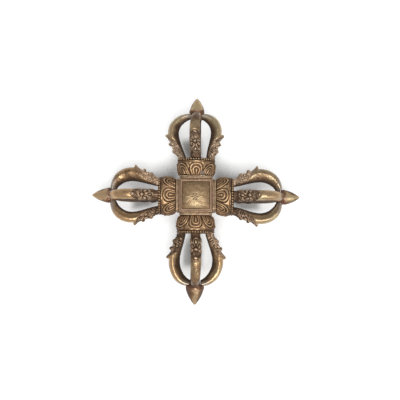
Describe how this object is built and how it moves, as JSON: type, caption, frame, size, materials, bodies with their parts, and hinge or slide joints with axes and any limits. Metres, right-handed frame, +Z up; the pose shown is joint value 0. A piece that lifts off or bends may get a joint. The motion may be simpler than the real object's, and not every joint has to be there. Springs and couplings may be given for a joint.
{
  "type": "crossed double vajra",
  "caption": "Crossed double vajra in cast brass: arms of lotus collar, pearl ring, makara claws and middle spike, brazed into a square hub with rosette bosses.",
  "frame": {"origin": "middle of the whole object's box; the hub's middle lies 2.9 mm from it along +Y and 0.1 mm along +X, because the hand-made arms differ in length", "axes": "+X along the east arm, +Y along the north arm, +Z up through the upper boss"},
  "size_m": [0.1402, 0.1398, 0.04],
  "materials": {
    "hub_brass": "old cast brass, dark in the corners, worn bright on the frame lines",
    "boss_brass": "old cast brass, incised rosette with dark lines",
    "collar_brass": "old cast brass, brown patina between bright petal ridges",
    "pearl_brass": "old cast brass, pearls worn bright on top",
    "claw_brass": "old brass, filed smooth on the prong and carved on the makara head",
    "spike_brass": "old brass, filed smooth, coppery braze at the base of the tip"
  },
  "bodies": {
    "root": {"hub": "hub_brass", "boss_upper": "boss_brass", "boss_lower": "boss_brass", "lotus_collar_east": "collar_brass", "lotus_collar_north": "collar_brass", "lotus_collar_west": "collar_brass", "lotus_collar_south": "collar_brass", "pearl_ring_east": "pearl_brass", "pearl_ring_north": "pearl_brass", "pearl_ring_west": "pearl_brass", "pearl_ring_south": "pearl_brass", "spike_east": "spike_brass", "spike_north": "spike_brass", "spike_west": "spike_brass", "spike_south": "spike_brass", "claw_east_upper": "claw_brass", "claw_east_right": "claw_brass", "claw_east_lower": "claw_brass", "claw_east_left": "claw_brass", "claw_north_upper": "claw_brass", "claw_north_right": "claw_brass", "claw_north_lower": "claw_brass", "claw_north_left": "claw_brass", "claw_west_upper": "claw_brass", "claw_west_right": "claw_brass", "claw_west_lower": "claw_brass", "claw_west_left": "claw_brass", "claw_south_upper": "claw_brass", "claw_south_right": "claw_brass", "claw_south_lower": "claw_brass", "claw_south_left": "claw_brass"}
  },
  "joints": []
}
